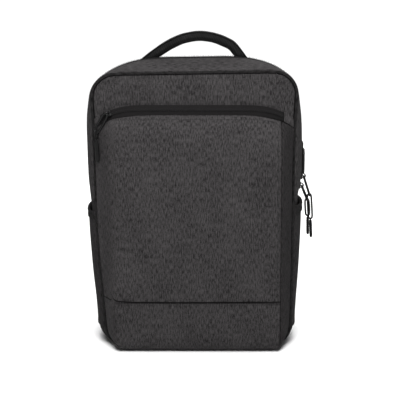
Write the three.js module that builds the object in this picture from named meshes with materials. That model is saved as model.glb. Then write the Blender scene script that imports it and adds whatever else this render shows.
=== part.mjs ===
// Laptop backpack, standing upright on its flat base.
// Millimetres, +Z up. The front of the bag faces -Y and the back panel with the shoulder straps
// faces +Y. The origin lies on the underside of the base, midway across the bag.
import * as THREE from 'three';

// Driving dimensions of the body
const BODY_HEIGHT = 420;
const HALF_WIDTH = 164;
const BODY_DEPTH = 105;
const FRONT_SEAM_Y = -40;
const TOP_RISE = 14;
const TOP_TILT = 2.5;
const FRONT_CORNER = 38;
const SHOULDER_REACH = 105;
const SHOULDER_DROP = 56;
const BASE_CORNER = 28;
const PANEL_WALL = 3;
const PANEL_CROWN = 3;
const BACK_PAD = 9;
const PIPING_RADIUS = 2.2;
const SEWN_GAP = 0.3;

// Main zip, round the top and both sides
const ZIP_DEPTH = 72;
const ZIP_TAPE = 20;
const ZIP_END = 224;
const TAPE_WALL = 1.4;
const COIL_RISE = 1.6;

// Front pocket, its lapped lower panel and its zip
const POCKET_DEPTH = 35;
const POCKET_WALL = 2;
const POCKET_FOLD = 119;
const POCKET_SEAM = 128;
const FOLD_ROOT = 151;
const POCKET_CROWN = 2.5;
const FOLD_MARGIN = 6;
const SEAM_GROOVE = 2.2;
const LAP_HEIGHT = 78;
const LAP_WALL = 1.5;
const POCKET_ZIP_SETDOWN = 56;
const POCKET_ZIP_HEIGHT = BODY_HEIGHT - POCKET_ZIP_SETDOWN;
const POCKET_ZIP_HALF = 6.5;
const POCKET_ZIP_DROP = 15;
const POCKET_ZIP_FLAT = 70;
const POCKET_ZIP_LEFT = 139;
const POCKET_ZIP_RIGHT = 132;
const HEM_TUCK = 2;
const GARAGE_WALL = 1.5;
const GARAGE_HALF = 8;

// Side pockets
const LEFT_MOUTH = 208;
const RIGHT_MOUTH = 217;
const SIDE_POCKET_WALL = 1.5;
const SIDE_POCKET_HOLLOW = 8.4;
const RECESS_BELOW = 6;
const RECESS_ABOVE = 34;
const HEM_HEIGHT = 12;
const HEM_WALL = 1.2;

// Carry handle
const HANDLE_LEFT = 71;
const HANDLE_RIGHT = 72;
const HANDLE_RISE = 35;
const HANDLE_WIDTH = 26;
const HANDLE_THICK = 16;
const HANDLE_SETBACK = 52;
const HANDLE_SEAT = 1.15;
const HANDLE_PIPING = 1.3;

// Shoulder straps and their webbing
const STRAP_WIDTH = 62;
const STRAP_THICK = 12;
const ARM_GAP = 26;
const STRAP_SEAT = 0.9;
const WEBBING_WIDTH = 25;
const WEBBING_THICK = 2;
const LOCK_WIDTH = 34;
const LOCK_HEIGHT = 26;
const LOCK_THICK = 6;
const LOCK_GAP = 0.7;
const TAB_HEIGHT = 8;
const TAB_MARGIN = 2.5;
const TAB_DROP = 4;

// Charging socket housing on the right side
const SOCKET_HEIGHT = 38;
const SOCKET_WIDTH = 18;
const SOCKET_THICK = 4;
const SOCKET_MIDDLE = 277;
const SOCKET_SETBACK = 12;
const FLAP_HEIGHT = 10;
const FLAP_WALL = 1.2;

// Zip pulls
const SLIDER_LENGTH = 11;
const SLIDER_WIDTH = 8.5;
const SLIDER_THICK = 4;
const POCKET_BRIDGE = 1.6;
const MAIN_BRIDGE = 0.4;
const LINK_WIRE = 1.3;
const LINK_WIDTH = 8;
const CORD_RADIUS = 1;
const CORD_LOOP = 6.4;
const CORD_SLACK = 0.6;
const GRIP_WIDTH = 6.8;
const GRIP_THICK = 4.4;
const PULL_GAP = 0.4;
const POCKET_SLIDER = 127;
const LINK_LEAN = 14;
const LINK_FALL = 24.6;
const LINK_OFF = 5.8;
const CORD_LEAN = 5;
const CORD_FALL = 12;
const GRIP_OFF = 1.6;
const POCKET_GRIP = 33;
const MAIN_GRIP = 28;

// Half widths at each height, as shares of HALF_WIDTH: the front seam, then the widest line
const SIDES = [
  { rise: 0.00, seamLeft: 0.838, seamRight: 0.900, sideLeft: 0.925, sideRight: 0.945 },
  { rise: 0.10, seamLeft: 0.842, seamRight: 0.904, sideLeft: 0.925, sideRight: 0.957 },
  { rise: 0.20, seamLeft: 0.862, seamRight: 0.909, sideLeft: 0.944, sideRight: 0.966 },
  { rise: 0.32, seamLeft: 0.887, seamRight: 0.912, sideLeft: 0.973, sideRight: 0.988 },
  { rise: 0.45, seamLeft: 0.908, seamRight: 0.914, sideLeft: 0.993, sideRight: 1.000 },
  { rise: 0.58, seamLeft: 0.915, seamRight: 0.914, sideLeft: 0.990, sideRight: 0.999 },
  { rise: 0.75, seamLeft: 0.922, seamRight: 0.916, sideLeft: 0.994, sideRight: 0.994 },
  { rise: 0.86, seamLeft: 0.932, seamRight: 0.926, sideLeft: 0.990, sideRight: 0.978 },
  { rise: 0.92, seamLeft: 0.943, seamRight: 0.940, sideLeft: 0.966, sideRight: 0.955 },
  { rise: 1.00, seamLeft: 0.945, seamRight: 0.945, sideLeft: 0.947, sideRight: 0.947 },
];

// From the front seam to the back seam: share of the side's swell, of TOP_RISE and of the
// change from the tight front corner to the wide rear shoulder
const CROSS = [
  { depth: 0.00, swell: 0.00, rise: 0.00, shoulder: 0.00 },
  { depth: 0.12, swell: 0.55, rise: 0.22, shoulder: 0.16 },
  { depth: 0.30, swell: 0.92, rise: 0.52, shoulder: 0.45 },
  { depth: 0.50, swell: 1.00, rise: 0.85, shoulder: 0.78 },
  { depth: 0.64, swell: 0.97, rise: 1.00, shoulder: 0.95 },
  { depth: 0.80, swell: 0.80, rise: 0.92, shoulder: 1.00 },
  { depth: 1.00, swell: 0.40, rise: 0.52, shoulder: 1.00 },
];

// Front pocket from the seam under the bag up to the zip: forward as a share of POCKET_DEPTH,
// up as a share of the height of the pocket's top edge
const POCKET_RISE = [
  { forward: 0.00, up: 0.004 },
  { forward: 0.40, up: 0.003 },
  { forward: 0.70, up: 0.007 },
  { forward: 0.88, up: 0.020 },
  { forward: 0.97, up: 0.046 },
  { forward: 1.00, up: 0.090 },
  { forward: 1.00, up: 0.150 },
  { forward: 1.00, up: 0.340 },
  { forward: 1.00, up: 0.520 },
  { forward: 0.99, up: 0.700 },
  { forward: 0.96, up: 0.820 },
  { forward: 0.87, up: 0.905 },
  { forward: 0.72, up: 0.955 },
  { forward: 0.50, up: 0.985 },
  { forward: 0.36, up: 1.000 },
];

// Left side of the pocket, from the body seam to the soft fold
const LEFT_FOLD = [
  { across: 0.00, forward: 0.00 },
  { across: 0.34, forward: 0.36 },
  { across: 0.70, forward: 0.76 },
  { across: 1.00, forward: 0.965 },
];

// Right side of the pocket, from the sewn edge to the body seam
const RIGHT_GUSSET = [
  { across: 0.00, forward: 0.97 },
  { across: 0.50, forward: 0.52 },
  { across: 1.00, forward: 0.00 },
];

// Middle line of the carry handle from its left foot to its right one: share of the way across
// and share of HANDLE_RISE
const HANDLE_ARCH = [
  { across: 0.00, up: 0.00 },
  { across: 0.11, up: 0.345 },
  { across: 0.25, up: 0.68 },
  { across: 0.37, up: 0.90 },
  { across: 0.53, up: 1.00 },
  { across: 0.69, up: 0.93 },
  { across: 0.82, up: 0.725 },
  { across: 0.93, up: 0.46 },
  { across: 1.00, up: 0.00 },
];

// Padded part of a shoulder strap: height as a share of BODY_HEIGHT, distance from the middle
// as a share of HALF_WIDTH, stand-off as a share of ARM_GAP, then shares of width and thickness
const STRAP_LINE = [
  { rise: 0.925, out: 0.27, off: 0.00, wide: 0.72, thick: 0.45 },
  { rise: 0.905, out: 0.275, off: 0.22, wide: 0.84, thick: 0.90 },
  { rise: 0.85, out: 0.29, off: 0.62, wide: 0.95, thick: 1.00 },
  { rise: 0.76, out: 0.33, off: 0.92, wide: 1.00, thick: 1.00 },
  { rise: 0.66, out: 0.39, off: 1.00, wide: 1.00, thick: 1.00 },
  { rise: 0.56, out: 0.46, off: 0.98, wide: 0.98, thick: 1.00 },
  { rise: 0.46, out: 0.52, off: 0.86, wide: 0.90, thick: 1.00 },
  { rise: 0.38, out: 0.56, off: 0.72, wide: 0.74, thick: 0.92 },
  { rise: 0.34, out: 0.575, off: 0.64, wide: 0.56, thick: 0.60 },
];

// Webbing from the ladder lock down to its tab at the base, in the same columns
const WEBBING_LINE = [
  { rise: 0.21, out: 0.64, off: 0.42 },
  { rise: 0.14, out: 0.69, off: 0.26 },
  { rise: 0.085, out: 0.73, off: 0.10 },
  { rise: 0.055, out: 0.75, off: 0.00 },
];

const CLOTH = { color: 0x3b3a3e, roughness: 0.95, metalness: 0 };
const DARK_CLOTH = { color: 0x2b2a2e, roughness: 0.95, metalness: 0 };
const BLACK_MESH = { color: 0x17171a, roughness: 0.85, metalness: 0 };
const BLACK_TAPE = { color: 0x141416, roughness: 0.8, metalness: 0 };
const BLACK_METAL = { color: 0x18181a, roughness: 0.35, metalness: 0.8 };
const BLACK_RUBBER = { color: 0x121214, roughness: 0.6, metalness: 0 };

const bag = new THREE.Group();

// General helpers
const mix = (a, b, t) => a + (b - a) * t;
const clamp = (value, low = 0, high = 1) => Math.min(high, Math.max(low, value));
const range = (count) => Array.from({ length: count + 1 }, (_, i) => i / count);
const point = (x, y, z) => new THREE.Vector3(x, y, z);

function ramp(from, to, value) {
  const t = clamp((value - from) / (to - from));
  return t * t * (3 - 2 * t);
}

// Smooth value of one column of a table at a place along its first column
function tableAt(table, key, column, place) {
  const last = table.length - 1;
  const at = clamp(place, table[0][key], table[last][key]);
  let i = 0;
  while (i < last - 1 && at > table[i + 1][key]) i += 1;
  const slope = (a, b) => (table[b][column] - table[a][column]) / (table[b][key] - table[a][key]);
  const step = table[i + 1][key] - table[i][key];
  const t = (at - table[i][key]) / step;
  const here = slope(i, i + 1);
  const before = i > 0 ? (slope(i - 1, i) + here) / 2 : here;
  const after = i < last - 1 ? (here + slope(i + 1, i + 2)) / 2 : here;
  const t2 = t * t;
  const t3 = t2 * t;
  return table[i][column] * (2 * t3 - 3 * t2 + 1) + before * step * (t3 - 2 * t2 + t)
    + table[i + 1][column] * (3 * t2 - 2 * t3) + after * step * (t3 - t2);
}

function addPart(name, geometry, finish, parent = bag) {
  const mesh = new THREE.Mesh(geometry, new THREE.MeshStandardMaterial(finish));
  mesh.name = name;
  parent.add(mesh);
  return mesh;
}

// Closed solid from corner points and triangles, with its faces turned outwards
function closedSolid(points, index) {
  let volume = 0;
  for (let i = 0; i < index.length; i += 3) {
    const [a, b, c] = [points[index[i]], points[index[i + 1]], points[index[i + 2]]];
    volume += a.dot(b.clone().cross(c));
  }
  if (volume < 0) index.reverse();
  const geometry = new THREE.BufferGeometry().setFromPoints(points);
  geometry.setIndex(index);
  geometry.computeVertexNormals();
  return geometry;
}

// Solid between two grids of points with the same rows and columns
function sheet(front, back) {
  const rows = front.length;
  const cols = front[0].length;
  const index = [];
  const at = (side, i, j) => (side * rows + i) * cols + j;
  const quad = (a, b, c, d) => index.push(a, b, c, a, c, d);
  for (let i = 0; i < rows - 1; i += 1) {
    for (let j = 0; j < cols - 1; j += 1) {
      quad(at(0, i, j), at(0, i, j + 1), at(0, i + 1, j + 1), at(0, i + 1, j));
      quad(at(1, i, j), at(1, i + 1, j), at(1, i + 1, j + 1), at(1, i, j + 1));
    }
  }
  const top = rows - 1;
  const end = cols - 1;
  for (let j = 0; j < end; j += 1) {
    quad(at(0, 0, j + 1), at(0, 0, j), at(1, 0, j), at(1, 0, j + 1));
    quad(at(0, top, j), at(0, top, j + 1), at(1, top, j + 1), at(1, top, j));
  }
  for (let i = 0; i < top; i += 1) {
    quad(at(0, i, 0), at(0, i + 1, 0), at(1, i + 1, 0), at(1, i, 0));
    quad(at(0, i + 1, end), at(0, i, end), at(1, i, end), at(1, i + 1, end));
  }
  return closedSolid([...front.flat(), ...back.flat()], index);
}

// The same grid moved along its own normals, towards the side that `inward` points to
function offsetGrid(grid, distance, inward) {
  const rows = grid.length;
  const cols = grid[0].length;
  return grid.map((row, i) => row.map((here, j) => {
    const along = grid[i][Math.min(j + 1, cols - 1)].clone().sub(grid[i][Math.max(j - 1, 0)]);
    const up = grid[Math.min(i + 1, rows - 1)][j].clone().sub(grid[Math.max(i - 1, 0)][j]);
    const normal = along.cross(up).normalize();
    if (normal.dot(inward(here)) < 0) normal.negate();
    return here.clone().addScaledVector(normal, distance);
  }));
}

// Solid through a row of closed rings, closed by a flat fan at each end
function loft(rings) {
  const sides = rings[0].length;
  const points = rings.flat();
  const index = [];
  for (let k = 0; k < rings.length - 1; k += 1) {
    for (let m = 0; m < sides; m += 1) {
      const n = (m + 1) % sides;
      const [a, b] = [k * sides + m, k * sides + n];
      const [c, d] = [b + sides, a + sides];
      index.push(a, b, c, a, c, d);
    }
  }
  for (const end of [0, rings.length - 1]) {
    const middle = rings[end].reduce((sum, p) => sum.add(p), point(0, 0, 0)).divideScalar(sides);
    const hub = points.push(middle) - 1;
    for (let m = 0; m < sides; m += 1) {
      const [a, b] = [end * sides + m, end * sides + ((m + 1) % sides)];
      if (end === 0) index.push(b, a, hub);
      else index.push(a, b, hub);
    }
  }
  return closedSolid(points, index);
}

// Body outline
const zipShare = ZIP_DEPTH / BODY_DEPTH;
const zipHalf = ZIP_TAPE / 2;
const tapeTo = zipShare + zipHalf / BODY_DEPTH;
const seatShare = (PIPING_RADIUS + SEWN_GAP) / BODY_DEPTH;
const pocketStep = SIDE_POCKET_WALL + SEWN_GAP;
const mouthOf = (hand) => (hand < 0 ? LEFT_MOUTH : RIGHT_MOUTH);
const depthY = (depth) => FRONT_SEAM_Y + depth * BODY_DEPTH;
const crossAt = (depth, column) => tableAt(CROSS, 'depth', column, depth);

function halfWidth(hand, depth, z) {
  const share = (column) => HALF_WIDTH * tableAt(SIDES, 'rise', column, z / BODY_HEIGHT);
  const seam = share(hand < 0 ? 'seamLeft' : 'seamRight');
  const side = share(hand < 0 ? 'sideLeft' : 'sideRight');
  return mix(seam, side, crossAt(depth, 'swell'));
}

// How far the body's side stands back behind the side pocket's cloth
function recess(hand, depth, z) {
  const mouth = mouthOf(hand);
  const closed = 1 - ramp(mouth - RECESS_BELOW, mouth + RECESS_ABOVE, z);
  const sunk = ramp(BASE_CORNER, mouth * 0.75, z);
  const middle = ramp(0.1, 0.26, depth) * (1 - ramp(0.78, 0.92, depth));
  const shown = ramp(0, seatShare, depth);
  return closed * (pocketStep * shown + (SIDE_POCKET_HOLLOW - pocketStep) * sunk * middle);
}

const FOOT_STEPS = 4;
const LOW_STEPS = 5;
const HIGH_STEPS = 5;
const SHOULDER_STEPS = 6;
const LEVEL_STEPS = 8;
const lowEnd = FOOT_STEPS + LOW_STEPS + 1;

// Corner points of one half of the outline, from the base up to the flat of the top.
// `sunk` takes the recess behind the side pockets off the width.
function halfOutline(hand, depth, inset, { sunk = true, split = ZIP_END } = {}) {
  const top = BODY_HEIGHT + TOP_RISE * crossAt(depth, 'rise') - inset;
  const shoulder = crossAt(depth, 'shoulder');
  const reach = mix(FRONT_CORNER, SHOULDER_REACH, shoulder) - inset;
  const drop = mix(FRONT_CORNER, SHOULDER_DROP, shoulder) - inset;
  const foot = BASE_CORNER - inset;
  const width = (z) => halfWidth(hand, depth, z) - inset - (sunk ? recess(hand, depth, z) : 0);
  const found = [];
  const add = (x, z) => {
    const tilt = TOP_TILT * ((hand * x) / HALF_WIDTH) * ramp(0.8, 1, z / BODY_HEIGHT);
    found.push({ x: hand * x, z: z + tilt });
  };
  for (const t of range(FOOT_STEPS)) {
    const angle = (t * Math.PI) / 2;
    const z = inset + foot * (1 - Math.cos(angle));
    add(width(z) - foot + foot * Math.sin(angle), z);
  }
  const mouth = mouthOf(hand);
  for (const t of range(LOW_STEPS).slice(1)) {
    const z = mix(BASE_CORNER, mouth, t);
    add(width(z), z);
  }
  add(width(split), split);
  for (const t of range(HIGH_STEPS).slice(1)) {
    const z = mix(split, top - drop, t);
    add(width(z), z);
  }
  for (const t of range(SHOULDER_STEPS).slice(1)) {
    const angle = (t * Math.PI) / 2;
    const z = top - drop + drop * Math.sin(angle);
    add(width(z) - reach + reach * Math.cos(angle), z);
  }
  return found;
}

// A run of the outline from side to side, over the top or round the foot of the bag
function run(over, depth, inset) {
  const split = ZIP_END + (over ? SEWN_GAP : 0);
  const [left, right] = [-1, 1].map((hand) => {
    const all = halfOutline(hand, depth, inset, { split });
    return over ? all.slice(lowEnd) : all.slice(0, FOOT_STEPS + 1).reverse();
  });
  const [from, to] = [left[left.length - 1], right[right.length - 1]];
  const flat = range(LEVEL_STEPS).slice(1, -1).map((t) => (
    { x: mix(from.x, to.x, t), z: mix(from.z, to.z, t) }));
  return [...left, ...flat, ...right.reverse()].map((p) => point(p.x, depthY(depth), p.z));
}

const spaced = (from, to, steps) => range(steps).map((t) => mix(from, to, t));

function gusset(over, depths) {
  const grid = (inset) => depths.map((depth) => run(over, depth, inset));
  return sheet(grid(0), grid(PANEL_WALL));
}

// Side of the body from the base up to the ends of the main zip
function sideGusset(hand) {
  const grid = (inset) => sideDepths().map((depth) => (
    halfOutline(hand, depth, inset).slice(FOOT_STEPS, lowEnd + 1).map((p, i) => (
      point(p.x, depthY(depth), p.z + (i === 0 ? SEWN_GAP : 0))))));
  return sheet(grid(0), grid(PANEL_WALL));
}

// Height of the body's top surface at a place across and along it
function topSurface(x, depth) {
  const runPoints = run(true, depth, 0);
  let i = 0;
  while (i < runPoints.length - 2 && !(runPoints[i].x <= x && runPoints[i + 1].x >= x
    && runPoints[i].z > BODY_HEIGHT * 0.8)) i += 1;
  const t = (x - runPoints[i].x) / (runPoints[i + 1].x - runPoints[i].x);
  return mix(runPoints[i].z, runPoints[i + 1].z, t);
}

// Front and back panels
const panelInset = 2 * PIPING_RADIUS + SEWN_GAP;

function pillow(across, up, power) {
  const side = clamp(Math.abs(across));
  const level = clamp(Math.abs(2 * up - 1));
  return (1 - side ** power) * (1 - level ** power);
}

function frontFace(x, z) {
  const across = x / halfWidth(Math.sign(x) || 1, 0, z);
  return FRONT_SEAM_Y - PANEL_WALL / 2 - PANEL_CROWN * pillow(across, z / BODY_HEIGHT, 4);
}

function backFace(x, z) {
  const across = x / halfWidth(Math.sign(x) || 1, 1, z);
  const seam = FRONT_SEAM_Y + BODY_DEPTH;
  return seam + PANEL_WALL / 2 + BACK_PAD * pillow(across, z / BODY_HEIGHT, 2.5);
}

function panel(depth, face, thickness) {
  const left = halfOutline(-1, depth, panelInset);
  const right = halfOutline(1, depth, panelInset);
  const grid = (back) => left.map((from, i) => range(LEVEL_STEPS).map((t) => {
    const x = mix(from.x, right[i].x, t);
    const z = mix(from.z, right[i].z, t);
    return point(x, back ? thickness(x, z) : face(x, z), z);
  }));
  return sheet(grid(false), grid(true));
}

function piping(depth) {
  const half = (hand) => halfOutline(hand, depth, PIPING_RADIUS, { sunk: false });
  const y = depthY(depth);
  const left = half(-1);
  const right = half(1).reverse();
  const end = { x: SEWN_GAP, z: PIPING_RADIUS };
  const loop = [{ x: -end.x, z: end.z }, ...left, ...right, end];
  return loft(mitredRings(loop.map((p) => point(p.x, y, p.z)), PIPING_RADIUS, 6));
}

// Rings round a line that lies in a plane of constant y, mitred at each corner
function mitredRings(line, radius, sides) {
  return line.map((here, i) => {
    const into = here.clone().sub(line[Math.max(i - 1, 0)]).normalize();
    const out = line[Math.min(i + 1, line.length - 1)].clone().sub(here).normalize();
    const along = into.add(out).normalize();
    const across = point(-along.z, 0, along.x);
    return range(sides).slice(0, -1).map((t) => {
      const angle = 2 * Math.PI * t;
      return here.clone().addScaledVector(across, radius * Math.cos(angle))
        .add(point(0, radius * Math.sin(angle), 0));
    });
  });
}

function makeBody() {
  const tapeFrom = zipShare - zipHalf / BODY_DEPTH;
  const gap = SEWN_GAP / BODY_DEPTH;
  const inside = (depth, sign) => () => depthY(depth) + (sign * PANEL_WALL) / 2;
  addPart('front_panel', panel(0, frontFace, inside(0, 1)), CLOTH);
  addPart('back_panel', panel(1, backFace, inside(1, -1)), BLACK_MESH);
  addPart('front_piping', piping(0), DARK_CLOTH);
  addPart('back_piping', piping(1), DARK_CLOTH);
  addPart('zip_gusset_front', gusset(true, spaced(seatShare, tapeFrom - gap, 5)), CLOTH);
  addPart('zip_gusset_rear', gusset(true, rearDepths()), CLOTH);
  addPart('base_gusset', gusset(false, sideDepths()), CLOTH);
  addPart('side_gusset_left', sideGusset(-1), CLOTH);
  addPart('side_gusset_right', sideGusset(1), CLOTH);
  addPart('main_zip', mainZip(tapeFrom, tapeTo), BLACK_TAPE);
}

function rearDepths() {
  return spaced(tapeTo + SEWN_GAP / BODY_DEPTH, 1 - seatShare, 2);
}

function sideDepths() {
  return [seatShare, 0.06, 0.12, 0.2, 0.3, 0.5, 0.7, 0.8, 0.92, 1 - seatShare];
}

const tapeInset = (PANEL_WALL - TAPE_WALL) / 2;

// Zip tape with its coil as a low ridge along the middle
function mainZip(from, to) {
  const across = [0, 0.36, 0.5, 0.64, 1];
  const lift = [0, 0, COIL_RISE, 0, 0];
  const front = across.map((t, i) => run(true, mix(from, to, t), tapeInset - lift[i]));
  const back = across.map((t) => run(true, mix(from, to, t), tapeInset + TAPE_WALL));
  return sheet(front, back);
}

// Front pocket
const pocketSeat = FRONT_SEAM_Y - PIPING_RADIUS - SEWN_GAP;
const pocketInset = PIPING_RADIUS * 1.6;

function zipDrop(x) {
  const t = clamp((Math.abs(x) - POCKET_ZIP_FLAT) / (POCKET_ZIP_LEFT - POCKET_ZIP_FLAT), 0, 2);
  return POCKET_ZIP_DROP * t ** 3;
}

const zipLine = (x) => POCKET_ZIP_HEIGHT - zipDrop(x);
const pocketTop = (x) => zipLine(x) - POCKET_ZIP_HALF;

// Width of the pocket's sewn edge at a height, following the rounded foot of the front seam
function pocketEdge(hand, z) {
  const foot = BASE_CORNER - pocketInset;
  const up = clamp((z - pocketInset) / foot);
  return halfWidth(hand, 0, z) - pocketInset - foot * (1 - Math.sqrt(1 - (1 - up) ** 2));
}

function pocketPoint(row, x, share, edge) {
  const z = row.up * pocketTop(x);
  const lift = row.forward > 0 ? POCKET_WALL : 0;
  const middle = clamp(1 - (x / edge) ** 2) * ramp(0, 0.3, row.up) * (1 - ramp(0.7, 1, row.up));
  const forward = lift + POCKET_DEPTH * row.forward * share + POCKET_CROWN * middle * share;
  return point(x, pocketSeat - forward, z);
}

const PLANE_STEPS = 8;

function pocketColumns(row) {
  const level = row.up * POCKET_ZIP_HEIGHT;
  const left = pocketEdge(-1, level);
  const right = pocketEdge(1, level);
  return {
    left,
    right,
    fold: Math.min(POCKET_FOLD, left - FOLD_MARGIN),
    seam: Math.min(POCKET_SEAM, right - FOLD_MARGIN),
  };
}

function planeGrid(rows) {
  return rows.map((row) => {
    const { left, fold, seam } = pocketColumns(row);
    return range(PLANE_STEPS).map((t) => (
      pocketPoint(row, mix(-fold, seam, t), t === 0 ? LEFT_FOLD.at(-1).forward : 1, left)));
  });
}

function makePocket() {
  const folded = POCKET_RISE.map((row) => {
    const { left, fold } = pocketColumns(row);
    return LEFT_FOLD.slice(0, -1).map((at) => (
      pocketPoint(row, -mix(left, fold, at.across), at.forward, left)));
  });
  const plane = planeGrid(POCKET_RISE);
  const outer = folded.map((row, i) => [...row, ...plane[i]]);
  const inward = (p) => point(-p.x, 1 - p.y, BODY_HEIGHT / 2 - p.z);
  addPart('pocket_panel', sheet(outer, offsetGrid(outer, POCKET_WALL, inward)), CLOTH);

  const side = POCKET_RISE.map((row) => {
    const { right, seam } = pocketColumns(row);
    return RIGHT_GUSSET.map((at) => (
      pocketPoint(row, mix(seam + SEAM_GROOVE, right, at.across), at.forward, right)));
  });
  addPart('pocket_gusset_right', sheet(side, offsetGrid(side, POCKET_WALL, inward)), DARK_CLOTH);

  const lapRows = POCKET_RISE.filter((row) => row.up > 0.005 && row.up < 0.16);
  lapRows.push({ forward: 1, up: LAP_HEIGHT / pocketTop(0) });
  const plain = planeGrid(lapRows);
  const outward = (p) => inward(p).negate();
  const inner = offsetGrid(plain, SEWN_GAP, outward);
  const face = offsetGrid(plain, SEWN_GAP + LAP_WALL, outward);
  addPart('lower_panel', sheet(face, inner), CLOTH);
}

// Point on the face of a band along the pocket zip: `side` runs from -1 at its lower edge,
// tucked behind the pocket's hem, to 1 at its upper edge on the front panel
function bandPoint(x, side, half, wall, lift) {
  const middle = zipLine(x);
  const reach = clamp(1 - (Math.abs(x) / halfWidth(Math.sign(x) || 1, 0, middle)) ** 6);
  const tuck = mix(-SEWN_GAP, HEM_TUCK, ramp(0.5, 0.9, reach));
  const z = middle + side * (side < 0 ? POCKET_ZIP_HALF + tuck : half);
  const low = (1 - side) / 2;
  const slope = reach * low * (POCKET_DEPTH * POCKET_RISE.at(-1).forward - lift - PANEL_CROWN);
  return point(x, frontFace(x, z) - SEWN_GAP * 2 - lift - wall - slope, z);
}

// The zip's tape, or one of the cloth ends that cover it, from one place across to another
function zipBand(from, to, half, wall, ridge, lift) {
  const across = [-1, -0.3, 0, 0.3, 1];
  const steps = Math.max(2, Math.round(Math.abs(to - from) / 18));
  const grid = across.map((side, i) => range(steps).map((t) => (
    bandPoint(mix(from, to, t), side, half, wall, lift)
      .add(point(0, i === 2 ? -ridge : 0, 0)))));
  const back = grid.map((row, i) => row.map((p) => p.clone().add(
    point(0, wall + (i === 2 ? ridge : 0), 0))));
  return sheet(grid, back);
}

function makePocketZip() {
  const end = SEWN_GAP * 2;
  const leftSeam = pocketEdge(-1, zipLine(POCKET_ZIP_LEFT)) - 1;
  const rightSeam = pocketEdge(1, zipLine(POCKET_ZIP_RIGHT)) - 1;
  const tape = zipBand(-POCKET_ZIP_LEFT, POCKET_ZIP_RIGHT, POCKET_ZIP_HALF, TAPE_WALL,
    COIL_RISE, 0);
  addPart('pocket_zip', tape, BLACK_TAPE);
  addPart('zip_garage_left', zipBand(-leftSeam, -POCKET_ZIP_LEFT - end, GARAGE_HALF,
    GARAGE_WALL, 0.6, 0.4), CLOTH);
  addPart('zip_garage_right', zipBand(POCKET_ZIP_RIGHT + end, rightSeam, GARAGE_HALF,
    GARAGE_WALL, 0.6, 0.4), CLOTH);
}

// Side pockets, open at the top
function sidePocket(hand) {
  const depths = sideDepths().slice(0, -1);
  const grid = (inset) => depths.map((depth) => (
    halfOutline(hand, depth, inset, { sunk: false }).slice(FOOT_STEPS, lowEnd)
      .map((p) => point(p.x, depthY(depth), p.z))));
  return sheet(grid(0), grid(SIDE_POCKET_WALL));
}

// Binding folded over the mouth of a side pocket, on the outside of its cloth
function sideHem(hand) {
  const depths = sideDepths().slice(0, -1);
  const step = (mouthOf(hand) - BASE_CORNER) / LOW_STEPS;
  const grid = (inset) => depths.map((depth) => {
    const upper = halfOutline(hand, depth, inset, { sunk: false }).slice(lowEnd - 2, lowEnd);
    const [from, to] = upper.map((p) => point(p.x, depthY(depth), p.z));
    return [from.clone().lerp(to, 1 - HEM_HEIGHT / step), to];
  });
  return sheet(grid(-SEWN_GAP - HEM_WALL), grid(-SEWN_GAP));
}

function makeSidePockets() {
  for (const [hand, side] of [[-1, 'left'], [1, 'right']]) {
    addPart(`side_pocket_${side}`, sidePocket(hand), CLOTH);
    addPart(`side_pocket_hem_${side}`, sideHem(hand), DARK_CLOTH);
  }
}

// Height of the rear gusset's top between its own rows of points
function rearTop(x, y) {
  const rows = rearDepths();
  const depth = clamp((y - FRONT_SEAM_Y) / BODY_DEPTH, rows[0], rows.at(-1));
  const i = depth < rows[1] ? 0 : 1;
  const t = (depth - rows[i]) / (rows[i + 1] - rows[i]);
  return mix(topSurface(x, rows[i]), topSurface(x, rows[i + 1]), t);
}

// Carry handle: a padded arch sewn down behind the crest of the bag's top
function handleLine() {
  const [left, right] = [-HANDLE_LEFT, HANDLE_RIGHT];
  const [from, to] = [left, right].map((x) => rearTop(x, HANDLE_SETBACK));
  const stations = [0, 0.1, 0.17, 0.245, 0.32, 0.4, 0.5, 0.6, 0.69, 0.77, 0.84, 0.91, 1];
  return stations.map((t) => point(mix(left, right, t), HANDLE_SETBACK,
    mix(from, to, t) + HANDLE_RISE * tableAt(HANDLE_ARCH, 'across', 'up', t)));
}

// Slides the end rings of a bar along it until they lie on the bag's top
function seatEnds(rings, line) {
  for (const [end, next] of [[0, 1], [line.length - 1, line.length - 2]]) {
    const down = line[end].clone().sub(line[next]).normalize();
    for (const corner of rings[end]) {
      for (let turn = 0; turn < 4; turn += 1) {
        const seat = rearTop(corner.x, corner.y) + HANDLE_SEAT;
        corner.addScaledVector(down, (seat - corner.z) / down.z);
      }
    }
  }
  return rings;
}

const BAR_ROUNDING = 0.62;

function roundedBar(wide, thick) {
  const [a, b] = [wide / 2, thick / 2];
  const r = b * BAR_ROUNDING;
  return [[-a + r, -b], [a - r, -b], [a, -b + r], [a, b - r], [a - r, b], [-a + r, b],
    [-a, b - r], [-a, -b + r]];
}

function sweepAcross(line, section, sideways) {
  return line.map((here, i) => {
    const along = line[Math.min(i + 1, line.length - 1)].clone()
      .sub(line[Math.max(i - 1, 0)]).normalize();
    const wide = sideways.clone().addScaledVector(along, -sideways.dot(along)).normalize();
    const up = wide.clone().cross(along).normalize();
    const corners = typeof section === 'function' ? section(i) : section;
    return corners.map(([u, v]) => (
      here.clone().addScaledVector(wide, u).addScaledVector(up, v)));
  });
}

function makeHandle() {
  const line = handleLine();
  const across = point(0, 1, 0);
  const bar = sweepAcross(line, roundedBar(HANDLE_WIDTH, HANDLE_THICK), across);
  addPart('carry_handle', loft(seatEnds(bar, line)), BLACK_MESH);
  const corner = (HANDLE_THICK / 2) * BAR_ROUNDING * 0.5;
  const off = (HANDLE_PIPING + SEWN_GAP * 1.5) * Math.SQRT1_2;
  const [u, v] = [HANDLE_WIDTH / 2 - corner + off, HANDLE_THICK / 2 - corner + off];
  const cord = range(6).slice(0, -1).map((t) => {
    const angle = 2 * Math.PI * t;
    return [-u + HANDLE_PIPING * Math.cos(angle), -v + HANDLE_PIPING * Math.sin(angle)];
  });
  addPart('handle_piping', loft(seatEnds(sweepAcross(line, cord, across), line)), BLACK_TAPE);
}

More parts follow.
